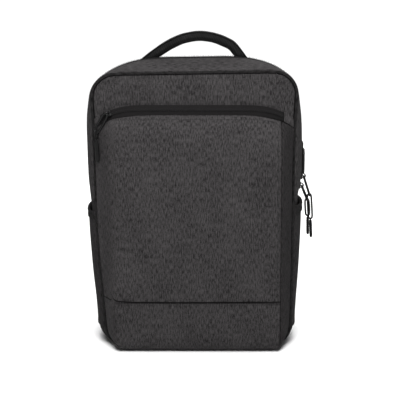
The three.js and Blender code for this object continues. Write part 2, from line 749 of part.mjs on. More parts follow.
// Shoulder straps, webbing, ladder locks and base tabs
function strapPoint(hand, at, half) {
  const x = hand * at.out * HALF_WIDTH;
  const z = at.rise * BODY_HEIGHT;
  return point(x, backFace(x, z) + STRAP_SEAT + half + at.off * ARM_GAP, z);
}

function makeStraps() {
  for (const [hand, side] of [[-1, 'left'], [1, 'right']]) {
    const across = point(1, 0, 0);
    const padded = STRAP_LINE.map((at) => strapPoint(hand, at, (STRAP_THICK * at.thick) / 2));
    const bar = (i) => roundedBar(STRAP_WIDTH * STRAP_LINE[i].wide,
      STRAP_THICK * STRAP_LINE[i].thick);
    addPart(`shoulder_strap_${side}`, loft(sweepAcross(padded, bar, across)), BLACK_MESH);
    const down = padded.at(-1).clone().sub(padded.at(-2)).normalize();
    const lockFoot = padded.at(-1).clone().addScaledVector(down, LOCK_HEIGHT + LOCK_GAP * 2);
    const tail = WEBBING_LINE.map((at) => strapPoint(hand, at, WEBBING_THICK / 2));
    const straight = lockFoot.clone().addScaledVector(down, WEBBING_WIDTH / 4);
    const web = [lockFoot, straight, ...tail];
    const flat = roundedBar(WEBBING_WIDTH, WEBBING_THICK);
    addPart(`strap_webbing_${side}`, loft(sweepAcross(web, flat, across)), BLACK_TAPE);
    addPart(`ladder_lock_${side}`, ladderLock(padded.at(-1), lockFoot), BLACK_RUBBER);
    addPart(`webbing_tab_${side}`, webbingTab(web.at(-1)), BLACK_TAPE);
  }
}

// Buckle between the end of the padding and the webbing, with two slots
function ladderLock(from, to) {
  const frame = new THREE.Shape();
  const [w, h] = [LOCK_WIDTH / 2, LOCK_HEIGHT / 2];
  frame.moveTo(-w, -h).lineTo(w, -h).lineTo(w, h).lineTo(-w, h).closePath();
  for (const low of [-0.72, 0.12]) {
    const slot = new THREE.Path();
    const [a, b] = [low * h, (low + 0.6) * h];
    const side = WEBBING_WIDTH / 2 + 1;
    slot.moveTo(-side, a).lineTo(-side, b).lineTo(side, b).lineTo(side, a).closePath();
    frame.holes.push(slot);
  }
  const geometry = new THREE.ExtrudeGeometry(frame, { depth: LOCK_THICK, bevelEnabled: false });
  const middle = from.clone().add(to).divideScalar(2);
  const down = to.clone().sub(from).normalize();
  const wide = point(1, 0, 0).addScaledVector(down, -down.x).normalize();
  const basis = new THREE.Matrix4().makeBasis(wide, down.clone().negate(),
    down.clone().cross(wide));
  geometry.translate(0, 0, -LOCK_THICK / 2).applyMatrix4(basis);
  geometry.translate(middle.x, middle.y, middle.z);
  return geometry;
}

// Stitched tab where the webbing leaves the foot of the back panel
function webbingTab(end) {
  const shape = new THREE.Shape();
  const half = WEBBING_WIDTH / 2 + TAB_MARGIN;
  shape.moveTo(-half, 0).lineTo(half, 0).lineTo(half, TAB_HEIGHT).lineTo(-half, TAB_HEIGHT)
    .closePath();
  const geometry = new THREE.ExtrudeGeometry(shape, {
    depth: WEBBING_THICK, bevelEnabled: false,
  });
  geometry.rotateX(Math.PI / 2);
  geometry.translate(end.x, end.y + WEBBING_THICK / 2, end.z - TAB_HEIGHT - TAB_DROP);
  return geometry;
}

// Charging socket housing and the cloth flap above it
function makeSocket() {
  const depth = (SOCKET_SETBACK - FRONT_SEAM_Y) / BODY_DEPTH;
  const [low, high] = [SOCKET_MIDDLE - SOCKET_HEIGHT / 2, SOCKET_MIDDLE + SOCKET_HEIGHT / 2];
  const face = Math.max(...[low, SOCKET_MIDDLE, high].map((z) => halfWidth(1, depth, z)));
  const outline = new THREE.Shape();
  for (const [i, [u, v]] of roundedBar(SOCKET_HEIGHT, SOCKET_WIDTH).entries()) {
    if (i === 0) outline.moveTo(u, v);
    else outline.lineTo(u, v);
  }
  outline.closePath();
  const housing = new THREE.ExtrudeGeometry(outline, {
    depth: SOCKET_THICK - 1, bevelThickness: 0.5, bevelSize: 0.5, bevelSegments: 1, steps: 1,
  });
  housing.rotateY(Math.PI / 2);
  housing.translate(face + SEWN_GAP + 0.5, SOCKET_SETBACK, SOCKET_MIDDLE);
  addPart('socket_housing', housing, BLACK_RUBBER);
  const flap = new THREE.BoxGeometry(FLAP_WALL, SOCKET_WIDTH + 4, FLAP_HEIGHT);
  flap.translate(face + SEWN_GAP + FLAP_WALL / 2, SOCKET_SETBACK,
    high + SEWN_GAP * 3 + FLAP_HEIGHT / 2);
  addPart('socket_flap', flap, DARK_CLOTH);
}

// Zip pulls. In a pull's own frame the slider lies on the zip at the origin, the tape runs
// along X and the pull stands off along +Z.
function sliderBody() {
  const outline = new THREE.Shape();
  const [a, b] = [SLIDER_LENGTH / 2, SLIDER_WIDTH / 2];
  outline.moveTo(-a, -b * 0.6).lineTo(-a * 0.2, -b * 0.6).lineTo(a * 0.5, -b).lineTo(a, -b)
    .lineTo(a, b).lineTo(a * 0.5, b).lineTo(-a * 0.2, b * 0.6).lineTo(-a, b * 0.6).closePath();
  return new THREE.ExtrudeGeometry(outline, { depth: SLIDER_THICK, bevelEnabled: false });
}

// Closed loop of round wire or cord between two ends, with a round turn at each
function linkLoop(from, to, wide, radius, sides, facing) {
  const along = to.clone().sub(from).normalize();
  const across = along.clone().cross(facing).normalize();
  const normal = across.clone().cross(along);
  const bend = wide / 2;
  const a = from.clone().addScaledVector(along, bend);
  const b = to.clone().addScaledVector(along, -bend);
  const rings = [];
  const turn = (centre, start) => {
    for (const t of range(4)) {
      const angle = start + Math.PI * t;
      const out = across.clone().multiplyScalar(Math.cos(angle))
        .addScaledVector(along, Math.sin(angle));
      const hub = centre.clone().addScaledVector(out, bend);
      rings.push(range(sides).slice(0, -1).map((s) => {
        const roll = 2 * Math.PI * s;
        return hub.clone().addScaledVector(out, radius * Math.cos(roll))
          .addScaledVector(normal, radius * Math.sin(roll));
      }));
    }
  };
  turn(b, 0);
  turn(a, Math.PI);
  return closedLoft(rings);
}

// Solid through rings that close on themselves
function closedLoft(rings) {
  const sides = rings[0].length;
  const index = [];
  rings.forEach((_, k) => {
    const next = (k + 1) % rings.length;
    for (let m = 0; m < sides; m += 1) {
      const n = (m + 1) % sides;
      const [a, b] = [k * sides + m, k * sides + n];
      const [c, d] = [next * sides + n, next * sides + m];
      index.push(a, b, c, a, c, d);
    }
  });
  return closedSolid(rings.flat(), index);
}

// Moulded grip that holds both ends of the cord
function grip(from, to, facing) {
  const along = to.clone().sub(from).normalize();
  const across = along.clone().cross(facing).normalize();
  const normal = across.clone().cross(along);
  const shares = [[0, 0.55], [0.06, 0.85], [0.2, 1], [0.5, 0.88], [0.8, 1], [0.95, 0.92], [1, 0.6]];
  const rings = shares.map(([t, size]) => {
    const here = from.clone().lerp(to, t);
    return roundedBar(GRIP_WIDTH * size, GRIP_THICK * size).map(([u, v]) => (
      here.clone().addScaledVector(across, u).addScaledVector(normal, v)));
  });
  return loft(rings);
}

// One pull: the slider on the tape, the link that hangs from it, the cord loop and the grip.
// `along` is the tape's direction and `facing` points away from the bag there.
function makePull(name, { seat, along, facing, link, linkFacing, foot, footFacing, length,
  bridge }) {
  const across = facing.clone().cross(along).normalize();
  const body = sliderBody();
  body.applyMatrix4(new THREE.Matrix4().makeBasis(along, across, facing));
  body.translate(seat.x, seat.y, seat.z);
  addPart(`${name}_slider`, body, BLACK_METAL);

  const clear = SLIDER_THICK + bridge + LINK_WIRE;
  const top = seat.clone().addScaledVector(facing, clear);
  addPart(`${name}_link`, linkLoop(top, link, LINK_WIDTH, LINK_WIRE, 6, linkFacing), BLACK_METAL);

  const down = foot.clone().sub(link).normalize();
  const head = foot.clone().addScaledVector(down, -length);
  const hooked = CORD_RADIUS + LINK_WIRE + PULL_GAP + CORD_SLACK;
  const loopTop = link.clone().addScaledVector(top.clone().sub(link).normalize(), hooked);
  const loopFoot = head.clone().addScaledVector(down, -CORD_RADIUS - PULL_GAP);
  const bar = link.clone().sub(top).cross(linkFacing).normalize();
  const cord = linkLoop(loopTop, loopFoot, CORD_LOOP, CORD_RADIUS, 5, bar);
  addPart(`${name}_cord`, cord, BLACK_TAPE);
  addPart(`${name}_grip`, grip(head, foot, footFacing), BLACK_RUBBER);
}

// Place on the outer face of the pocket's folded left side
function foldPoint(x, z, away) {
  const { left, fold } = pocketColumns({ up: z / POCKET_ZIP_HEIGHT });
  const share = tableAt(LEFT_FOLD, 'across', 'forward', (left + x) / (left - fold));
  const forward = tableAt(POCKET_RISE, 'up', 'forward', z / pocketTop(x)) * share;
  const normal = foldNormal();
  const face = point(x, pocketSeat - POCKET_WALL - POCKET_DEPTH * forward, z);
  return face.addScaledVector(normal, away);
}

const foldNormal = () => point(-POCKET_DEPTH, POCKET_FOLD - FOLD_ROOT, 0).normalize();

function makePocketPull() {
  const x = -POCKET_SLIDER;
  const place = (at, side) => bandPoint(at, side, POCKET_ZIP_HALF, TAPE_WALL, 0);
  const along = place(x + 4, 0).sub(place(x - 4, 0)).normalize();
  const up = place(x, 0.5).sub(place(x, -0.5)).normalize();
  const facing = along.clone().cross(up).normalize();
  const seat = place(x, 0).addScaledVector(facing, COIL_RISE + PULL_GAP);
  const linkEnd = foldPoint(x - LINK_LEAN, seat.z - LINK_FALL, LINK_OFF);
  const foot = foldPoint(linkEnd.x + CORD_LEAN, linkEnd.z - POCKET_GRIP - CORD_FALL,
    GRIP_THICK / 2 + GRIP_OFF);
  makePull('pocket_pull', {
    seat,
    along,
    facing,
    link: linkEnd,
    linkFacing: facing,
    foot,
    footFacing: foldNormal(),
    length: POCKET_GRIP,
    bridge: POCKET_BRIDGE,
  });
}

// Place on the right side of a run over the top, at a height
function rightSide(line, z) {
  let i = line.length - 1;
  while (line[i - 1].z < z) i -= 1;
  return line[i].clone().lerp(line[i - 1], (z - line[i].z) / (line[i - 1].z - line[i].z));
}

// The two sliders of the main zip meet low on the right side, over the side pocket's mouth.
// For each: height of the slider over the zip's end, where the link ends and where the grip
// hangs, measured outwards from the side and up from the pocket's mouth.
const MAIN_PULLS = [
  { name: 'main_pull_lower', slider: 12, out: 12, drop: -5, footOut: 13, foot: -58, shift: -5 },
  { name: 'main_pull_upper', slider: 27, out: 16, drop: 1, footOut: 19, foot: -65, shift: 5 },
];

function makeMainPulls() {
  const coil = run(true, zipShare, tapeInset - COIL_RISE);
  const cloth = halfWidth(1, zipShare, RIGHT_MOUTH);
  for (const pull of MAIN_PULLS) {
    const z = ZIP_END + pull.slider;
    const along = rightSide(coil, z + 4).sub(rightSide(coil, z - 4)).normalize();
    const facing = point(along.z, 0, -along.x);
    const seat = rightSide(coil, z).addScaledVector(facing, PULL_GAP);
    const y = depthY(zipShare) + pull.shift;
    makePull(pull.name, {
      seat,
      along,
      facing,
      link: point(cloth + pull.out, y, RIGHT_MOUTH + pull.drop),
      linkFacing: point(1, 0, 0),
      foot: point(cloth + pull.footOut, y, RIGHT_MOUTH + pull.foot),
      footFacing: point(1, 0, 0),
      length: MAIN_GRIP,
      bridge: MAIN_BRIDGE,
    });
  }
}

makeBody();
makePocket();
makePocketZip();
makeSidePockets();
makeHandle();
makeStraps();
makeSocket();
makePocketPull();
makeMainPulls();

export default bag;
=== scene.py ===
# Laptop backpack in charcoal melange cloth: cloth shells, zips, padding and trim.
import math
import bpy
import bmesh
from mathutils import Matrix, Vector, noise
from mathutils.bvhtree import BVHTree
from mathutils.kdtree import KDTree


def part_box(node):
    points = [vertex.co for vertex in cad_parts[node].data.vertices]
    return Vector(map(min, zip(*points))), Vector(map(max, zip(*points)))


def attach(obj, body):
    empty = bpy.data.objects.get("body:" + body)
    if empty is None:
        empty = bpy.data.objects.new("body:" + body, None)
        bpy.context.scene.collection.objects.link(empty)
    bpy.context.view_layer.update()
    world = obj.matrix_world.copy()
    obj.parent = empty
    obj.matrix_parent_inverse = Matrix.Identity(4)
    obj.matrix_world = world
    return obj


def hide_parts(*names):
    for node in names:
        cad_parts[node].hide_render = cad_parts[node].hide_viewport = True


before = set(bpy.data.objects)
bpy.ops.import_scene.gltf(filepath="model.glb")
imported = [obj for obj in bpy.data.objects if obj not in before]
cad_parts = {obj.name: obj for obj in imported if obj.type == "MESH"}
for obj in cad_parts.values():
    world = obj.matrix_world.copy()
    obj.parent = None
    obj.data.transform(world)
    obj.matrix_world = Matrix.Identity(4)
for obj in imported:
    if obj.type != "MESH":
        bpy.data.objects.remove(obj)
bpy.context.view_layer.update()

# Sizes in metres, in the frame of the CAD nodes
MM = 0.001
FRONT_SEAM = -0.040
POCKET_FACE = -0.080
LAP_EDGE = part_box("lower_panel")[1].z
BODY_MIDDLE = Vector((0, 0.012, 0.215))
BODY_REACH = (0.16, 0.06, 0.21)
SIDE_MOUTH = {"left": 0.208, "right": 0.217}
HANDS = (("left", -1), ("right", 1))

# Pocket zip: its straight middle stretch and the bend that falls away at each end
ZIP_HEIGHT = 0.364
ZIP_STRAIGHT = 0.070
ZIP_BEND = 0.069
ZIP_FALL = 0.015

# Main zip: the depth of its middle and of the stitching on either side
ZIP_DEPTH = 0.032
ZIP_STITCHING = (("front", 0.0188), ("rear", 0.0452))

# Cloth rims turn in over this reach, and wires regain what smoothing takes from them
TUCK_REACH = 0.003
WIRE_FILL = 0.0007
SHARP_EDGE = math.radians(48)

# Stitches and zip coils: pitch, half sizes along, across and up, and height over the cloth
STITCH_PITCH = 0.0042
STITCH = (0.00150, 0.00042, 0.00032)
STITCH_LIFT = 0.00012
COIL_PITCH = 0.00135
COIL_TURN = (0.00052, 0.00165, 0.0006)
COIL_SIDE = 0.00125
COIL_LIFT = 0.0002

# Moulded grips: how far they stand out, and their ridges
GRIP_SWELL = 0.00022
RIDGE_HEIGHT = 0.00032
RIDGE_PITCH = 0.0030

# Bridge over a zip slider: half its span and the radius of its wire
BRIDGE_REACH = 0.0036
BRIDGE_WIRE = 0.0009

# Photograph's view: a long lens, a little above the middle of the bag
FOCAL_LENGTH = 120
SENSOR_WIDTH = 36
CAMERA_TILT = math.radians(11.5)
CAMERA_DISTANCE = 2.0
CAMERA_TARGET = (0.00825, FRONT_SEAM, 0.2266)

# Studio: a floor, a wide overhead light, a key over the front and a light behind
FLOOR_HALF = 40
FLOOR_SHADE = (0.9, 0.9, 0.9, 1)
WORLD_STRENGTH = 0.12
OVERHEAD_POWER = 3.4
OVERHEAD_ANGLE = math.radians(50)
LAMPS = (("key", (0, -0.80, 1.02), (0, -0.04, 0.40), 0.5, 13.5),
         ("back_light", (0.3, 1.7, 1.2), (0, 0, 0.2), 1.2, 14))


# ---- Camera ----
def aim_camera():
    lens = bpy.data.cameras.new("camera")
    lens.lens = FOCAL_LENGTH
    lens.sensor_width = SENSOR_WIDTH
    lens.clip_end = 20
    camera = bpy.data.objects.new("camera", lens)
    bpy.context.scene.collection.objects.link(camera)
    away = Vector((0, -math.cos(CAMERA_TILT), math.sin(CAMERA_TILT)))
    camera.location = Vector(CAMERA_TARGET) + away * CAMERA_DISTANCE
    camera.rotation_mode = "QUATERNION"
    camera.rotation_quaternion = (-away).to_track_quat("-Z", "Y")
    bpy.context.scene.camera = camera


aim_camera()


# ---- Helpers for finishes ----
class Finish:
    """A material and the few node calls that its pattern needs."""

    def __init__(self, name, roughness=0.9, specular=0.3):
        self.material = bpy.data.materials.new(name)
        self.material.use_nodes = True
        self.tree = self.material.node_tree
        self.shader = self.tree.nodes["Principled BSDF"]
        self.shader.inputs["Roughness"].default_value = roughness
        self.shader.inputs["Specular IOR Level"].default_value = specular

    def node(self, kind, **settings):
        made = self.tree.nodes.new("ShaderNode" + kind)
        for key, value in settings.items():
            setattr(made, key, value)
        return made

    def link(self, source, target):
        self.tree.links.new(source, target)

    def coordinates(self, on_cloth, scale):
        """The cloth's own map, or Object coordinates, in repeats per metre."""
        source = self.node("UVMap", uv_map="cloth").outputs[0] if on_cloth else \
            self.node("TexCoord").outputs["Object"]
        mapping = self.node("Mapping")
        mapping.inputs["Scale"].default_value = scale
        self.link(source, mapping.inputs["Vector"])
        return mapping.outputs[0]

    def noise(self, place, detail=2.0, roughness=0.5):
        made = self.node("TexNoise", noise_dimensions="3D")
        made.inputs["Scale"].default_value = 1.0
        made.inputs["Detail"].default_value = detail
        made.inputs["Roughness"].default_value = roughness
        self.link(place, made.inputs["Vector"])
        return made.outputs["Fac"]

    def wave(self, place, direction):
        made = self.node("TexWave", wave_type="BANDS", bands_direction=direction)
        made.inputs["Scale"].default_value = 1.0
        made.inputs["Distortion"].default_value = 0.0
        made.inputs["Detail"].default_value = 0.0
        self.link(place, made.inputs["Vector"])
        return made.outputs["Fac"]

    def cells(self, place, randomness):
        made = self.node("TexVoronoi", feature="F1")
        made.inputs["Scale"].default_value = 1.0
        made.inputs["Randomness"].default_value = randomness
        self.link(place, made.inputs["Vector"])
        return made.outputs["Distance"]

    def sum(self, parts):
        """Weighted sum of several values."""
        total = None
        for value, weight in parts:
            step = self.node("Math", operation="MULTIPLY_ADD")
            self.link(value, step.inputs[0])
            step.inputs[1].default_value = weight
            step.inputs[2].default_value = 0.0
            if total is not None:
                self.link(total, step.inputs[2])
            total = step.outputs[0]
        return total

    def line(self, axis, place, half_width):
        """1 on a line across the cloth's own map, falling to 0 at half_width from it."""
        parts = self.node("SeparateXYZ")
        self.link(self.node("UVMap", uv_map="cloth").outputs[0], parts.inputs[0])
        off = self.node("Math", operation="SUBTRACT")
        self.link(parts.outputs[axis], off.inputs[0])
        off.inputs[1].default_value = place
        size = self.node("Math", operation="ABSOLUTE")
        self.link(off.outputs[0], size.inputs[0])
        span = self.node("MapRange", interpolation_type="SMOOTHSTEP")
        span.inputs["From Max"].default_value = half_width
        span.inputs["To Min"].default_value = 1.0
        span.inputs["To Max"].default_value = 0.0
        self.link(size.outputs[0], span.inputs["Value"])
        return span.outputs["Result"]

    def colour(self, value, stops):
        ramp = self.node("ValToRGB")
        band = ramp.color_ramp
        while len(band.elements) < len(stops):
            band.elements.new(0.5)
        for element, (place, shade) in zip(band.elements, stops):
            element.position = place
            element.color = (*shade, 1)
        self.link(value, ramp.inputs["Fac"])
        self.link(ramp.outputs["Color"], self.shader.inputs["Base Color"])

    def rough(self, value, low, high):
        span = self.node("MapRange")
        span.inputs["To Min"].default_value = low
        span.inputs["To Max"].default_value = high
        self.link(value, span.inputs["Value"])
        self.link(span.outputs["Result"], self.shader.inputs["Roughness"])

    def bump(self, value, height, strength=1.0):
        made = self.node("Bump")
        made.inputs["Distance"].default_value = height
        made.inputs["Strength"].default_value = strength
        self.link(value, made.inputs["Height"])
        self.link(made.outputs["Normal"], self.shader.inputs["Normal"])


def melange(name, dark, light, seams=()):
    """Plain weave of dark and light yarns: fine upright streaks, small flecks, slow mottling.
    seams are (axis, place, half width) lines where the cloth turns under; along them the cloth is
    darkened as painted shade for the shadow in the groove."""
    made = Finish(name, roughness=1.0, specular=0.06)
    streaks = made.noise(made.coordinates(True, (600, 130, 1)), detail=2, roughness=0.6)
    flecks = made.noise(made.coordinates(True, (1500, 700, 1)), detail=1)
    broad = made.noise(made.coordinates(True, (24, 14, 1)), detail=2)
    mixed = made.sum([(streaks, 0.56), (flecks, 0.32), (broad, 0.12)] +
                     [(made.line(*seam), -0.3) for seam in seams])
    middle = tuple((a + b) / 2 for a, b in zip(dark, light))
    made.colour(mixed, [(0.37, dark), (0.5, middle), (0.63, light)])
    warp = made.wave(made.coordinates(True, (900, 0, 0)), "X")
    weft = made.wave(made.coordinates(True, (0, 900, 0)), "Y")
    made.bump(made.sum([(warp, 0.6), (weft, 0.15), (flecks, 0.2)]), 0.00025, 0.25)
    return made.material


def spacer_mesh(name, dark, light):
    """Knitted mesh: rows of small staggered holes over a padded ground."""
    made = Finish(name, roughness=0.8, specular=0.16)
    holes = made.cells(made.coordinates(True, (330, 280, 1)), 0.12)
    grain = made.noise(made.coordinates(True, (900, 900, 1)))
    broad = made.noise(made.coordinates(True, (40, 40, 1)))
    mixed = made.sum([(holes, 0.9), (grain, 0.2), (broad, 0.25)])
    made.colour(mixed, [(0.35, dark), (0.85, light)])
    made.bump(made.sum([(holes, 1.0), (grain, 0.2)]), 0.0007, 0.8)
    return made.material


def woven_tape(name, dark, light, pitch=1100):
    """Narrow woven tape: fine ribs across and a herringbone of threads."""
    made = Finish(name, roughness=0.85, specular=0.14)
    ribs = made.wave(made.coordinates(True, (0, pitch, 0)), "Y")
    threads = made.wave(made.coordinates(True, (pitch * 0.8, pitch * 0.4, 0)), "DIAGONAL")
    grain = made.noise(made.coordinates(True, (700, 700, 1)))
    mixed = made.sum([(ribs, 0.35), (threads, 0.3), (grain, 0.35)])
    made.colour(mixed, [(0.25, dark), (0.75, light)])
    made.bump(made.sum([(ribs, 0.6), (threads, 0.4)]), 0.0004, 0.7)
    return made.material


def moulded(name, dark, light, low, high, grain_size=900, coat=0.0):
    """Moulded or painted surface: fine grain, and slow wear in its gloss from low to high."""
    made = Finish(name, specular=0.14)
    made.shader.inputs["Coat Weight"].default_value = coat
    made.shader.inputs["Coat Roughness"].default_value = 0.25
    grain = made.noise(made.coordinates(False, (grain_size,) * 3), detail=2)
    wear = made.noise(made.coordinates(False, (90, 90, 60)), detail=3, roughness=0.7)
    made.colour(made.sum([(grain, 0.5), (wear, 0.5)]), [(0.35, dark), (0.7, light)])
    made.rough(wear, low, high)
    made.bump(grain, 0.00012, 0.5)
    return made.material


def grey(value, warm=0.0):
    """Linear grey, a little redder where warm is above 0."""
    return (value * (1 + warm), value, value * (1 + warm * 0.35))


CLOTH = melange("charcoal_melange", grey(0.006, 0.06), grey(0.050, 0.06))
# Pocket cloth: the body cloth with a line of painted shade just above the lap's folded edge, for
# the shadow in its groove
POCKET_CLOTH = melange("pocket_melange", grey(0.006, 0.06), grey(0.050, 0.06),
                       [(1, LAP_EDGE + 0.0008, 0.0016)])
# Side cloth: the body cloth made darker as painted shade, for the side gussets, side pockets and
# the front pocket's right gusset, which turn away from the key light
SHADED_SIDE_CLOTH = melange("side_melange_painted_shade", grey(0.004, 0.07), grey(0.029, 0.07))
DARK_CLOTH = melange("dark_melange", grey(0.005, 0.05), grey(0.030, 0.05))
# Piping and hem binding cloth: darker than the body cloth, partly its own tone and partly painted
# shade for the shadow line along the piped seams
EDGE_CLOTH = melange("piping_cloth", grey(0.003, 0.05), grey(0.018, 0.05))
MESH = spacer_mesh("black_spacer_mesh", grey(0.0015), grey(0.016))
TAPE = woven_tape("black_zip_tape", grey(0.003, 0.1), grey(0.010, 0.1))
WEBBING = woven_tape("black_webbing", grey(0.005), grey(0.02), pitch=700)
BINDING = woven_tape("black_binding", grey(0.002), grey(0.010), pitch=1300)
THREAD = woven_tape("dark_thread", grey(0.006), grey(0.022), pitch=2200)
COIL = moulded("black_coil", grey(0.003), grey(0.009), 0.4, 0.6)
METAL = moulded("black_painted_metal", grey(0.003), grey(0.009), 0.3, 0.5, coat=0.1)
PLASTIC = moulded("black_moulded_plastic", grey(0.003), grey(0.009), 0.45, 0.65)
RUBBER = moulded("black_grip_rubber", grey(0.002), grey(0.006), 0.55, 0.75, grain_size=1400)


# ---- Helpers for shapes ----
def smooth_step(low, high, value):
    t = min(1.0, max(0.0, (value - low) / (high - low)))
    return t * t * (3 - 2 * t)


def ripple(x, y, z):
    """Smooth noise from -1 to 1."""
    return noise.noise(Vector((x, y, z)))


def welded(node):
    """Quads over a CAD node's triangles, as a bmesh."""
    shape = bmesh.new()
    shape.from_mesh(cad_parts[node].data)
    bmesh.ops.remove_doubles(shape, verts=shape.verts, dist=1e-5)
    bmesh.ops.join_triangles(shape, faces=shape.faces, angle_face_threshold=math.radians(50),
                             angle_shape_threshold=math.radians(100))
    return shape


def finished(name, shape, material, node=None):
    """Smooth-shaded object from a bmesh, riding on the body, with its finish."""
    mesh = bpy.data.meshes.new(name)
    shape.to_mesh(mesh)
    shape.free()
    for face in mesh.polygons:
        face.use_smooth = True
    mesh.materials.append(material)
    piece = bpy.data.objects.new(name, mesh)
    bpy.context.scene.collection.objects.link(piece)
    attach(piece, "root")
    if node:
        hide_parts(node)
    return piece


def baked(shape, levels):
    """The bmesh after a subdivision surface that keeps creased edges."""
    mesh = bpy.data.meshes.new("cage")
    shape.to_mesh(mesh)
    shape.free()
    cage = bpy.data.objects.new("cage", mesh)
    bpy.context.scene.collection.objects.link(cage)
    finer = cage.modifiers.new("finer", "SUBSURF")
    finer.levels = finer.render_levels = levels
    finer.use_limit_surface = False
    graph = bpy.context.evaluated_depsgraph_get()
    dense = bmesh.new()
    dense.from_mesh(cage.evaluated_get(graph).to_mesh())
    cage.evaluated_get(graph).to_mesh_clear()
    bpy.data.objects.remove(cage)
    bpy.data.meshes.remove(mesh)
    return dense


def crease_rims(shape):
    """Creases the sharp edges, so that subdivision keeps them."""
    layer = shape.edges.layers.float.get("crease_edge") or \
        shape.edges.layers.float.new("crease_edge")
    for edge in shape.edges:
        if len(edge.link_faces) == 2 and edge.calc_face_angle() > SHARP_EDGE:
            edge[layer] = 1.0


def outward(co):
    """Rough direction out of the bag at a place."""
    away = co - BODY_MIDDLE
    return Vector([part / reach for part, reach in zip(away, BODY_REACH)])


def front_unroll(co):
    """Cloth coordinates on pieces of the front: across, then up, unrolled at the edges."""
    back = max(0.0, co.y - POCKET_FACE)
    side = math.copysign(back, co.x) if abs(co.x) > 0.118 else 0.0
    top = back if co.z > 0.2 else -back
    return co.x + side, co.z + (0.0 if abs(co.x) > 0.125 and 0.05 < co.z < 0.33 else top)


def gusset_unroll(co):
    """Cloth coordinates on the strips round the body: along the bag's depth, then along them."""
    return co.y, co.z - abs(co.x)


def flat_unroll(co):
    return co.x, co.z


def lay_pattern(shape, unroll):
    """Writes the cloth's map: where each corner of a face lies on the flat cloth."""
    layer = shape.loops.layers.uv.get("cloth") or shape.loops.layers.uv.new("cloth")
    for face in shape.faces:
        for loop in face.loops:
            loop[layer].uv = unroll(loop.vert.co)


def rim_distance(shape):
    """Tree of the vertices on creased edges."""
    layer = shape.edges.layers.float.get("crease_edge")
    rim = {vert for edge in shape.edges if edge[layer] > 0.5 for vert in edge.verts}
    tree = KDTree(len(rim))
    for i, vert in enumerate(rim):
        tree.insert(vert.co, i)
    tree.balance()
    return tree


def cloth_shell(name, node, material, unroll, levels, relief=None, reach=0.010,
                tuck=0.0):
    """A sewn cloth piece: the CAD shell made finer, its rim turned in by tuck, with its folds.
    relief(co, distance to the rim) is how far the cloth stands out there."""
    shape = welded(node)
    crease_rims(shape)
    shape = baked(shape, levels)
    shape.normal_update()
    rims = rim_distance(shape)
    distance = {vert: rims.find(vert.co)[2] for vert in shape.verts}
    facing = {vert: vert.normal.dot(outward(vert.co)) > 0 for vert in shape.verts}
    for vert in shape.verts:
        if tuck and facing[vert] and distance[vert] < TUCK_REACH:
            vert.co -= outward(vert.co).normalized() * tuck * (1 - distance[vert] / TUCK_REACH)
    if relief:
        moves = []
        for vert in shape.verts:
            away = vert.normal if vert.normal.dot(outward(vert.co)) > 0 else -vert.normal
            held = smooth_step(0, reach, distance[vert])
            moves.append(away * relief(vert.co, distance[vert]) * held)
        for vert, move in zip(shape.verts, moves):
            vert.co += move
    lay_pattern(shape, unroll)
    return finished(name, shape, material, node)


# ---- Body panels ----
def front_relief(co, rim):
    """Faint upright pulls under the top seam and a slow swell."""
    under = math.exp(-max(0.0, 0.405 - co.z) / 0.022)
    pulls = ripple(co.x * 85, 3.1, co.z * 9) * 2.4 * under
    middle = math.exp(-((co.x - 0.01) / 0.07) ** 2) * math.exp(-((co.z - 0.385) / 0.03) ** 2)
    folds = ripple(co.x * 60 + co.z * 7, 8.7, co.z * 8) * 3.2 * middle
    swell = ripple(co.x * 14, 1.3, co.z * 16) * 1.2
    return (pulls + folds + swell) * MM


def gusset_relief(co, rim):
    """Small pulls along the seams and a slow swell."""
    along = co.z - abs(co.x)
    pulls = ripple(along * 70, co.y * 20, 5.5) * 0.9 * math.exp(-rim / 0.012)
    swell = ripple(along * 12, co.y * 22, 2.5) * 1.4
    return (pulls + swell) * MM


cloth_shell("front_cloth", "front_panel", CLOTH, flat_unroll, 3, front_relief,
            tuck=0.0012)
cloth_shell("gusset_cloth_front", "zip_gusset_front", CLOTH, gusset_unroll, 2,
            gusset_relief)
cloth_shell("gusset_cloth_rear", "zip_gusset_rear", CLOTH, gusset_unroll, 2,
            gusset_relief)
cloth_shell("base_cloth", "base_gusset", DARK_CLOTH, gusset_unroll, 2,
            lambda co, rim: 0.0 if co.z < 0.02 else ripple(co.z * 14, co.y * 25, 6) * MM)
for side in ("left", "right"):
    cloth_shell(f"side_cloth_{side}", f"side_gusset_{side}", SHADED_SIDE_CLOTH,
                gusset_unroll, 2, lambda co, rim: ripple(co.z * 14, co.y * 25, 6) * MM)
cloth_shell("front_piping_cord", "front_piping", EDGE_CLOTH, gusset_unroll, 2)
cloth_shell("back_piping_cord", "back_piping", EDGE_CLOTH, gusset_unroll, 2)


# ---- Front pocket ----
def pocket_relief(co, rim):
    """Puckers gathered along the zip's hem, a soft swell and small pulls at the seams."""
    top = 0.355 - max(0.0, abs(co.x) - 0.07) * 0.12
    hem = math.exp(-max(0.0, top - co.z) / 0.020)
    puckers = (ripple(co.x * 110, 7.7, co.z * 6) + 0.6 * ripple(co.x * 230, 2.2, 4)) * 2.2 * hem
    seam = math.exp(-max(0.0, 0.128 - co.x) / 0.012)
    pulls = ripple(3.3, 1.9, co.z * 60) * 1.5 * seam
    lap = math.exp(-abs(co.z - 0.080) / 0.014) * ripple(co.x * 75, 4.4, 2) * 0.7
    swell = ripple(co.x * 11, 5.1, co.z * 10) * 1.8
    return (puckers + pulls + lap + swell) * MM


def lap_relief(co, rim):
    return (ripple(co.x * 11, 5.1, co.z * 10) * 1.8 + ripple(co.x * 70, 4.4, co.z * 9) * 0.5) * MM


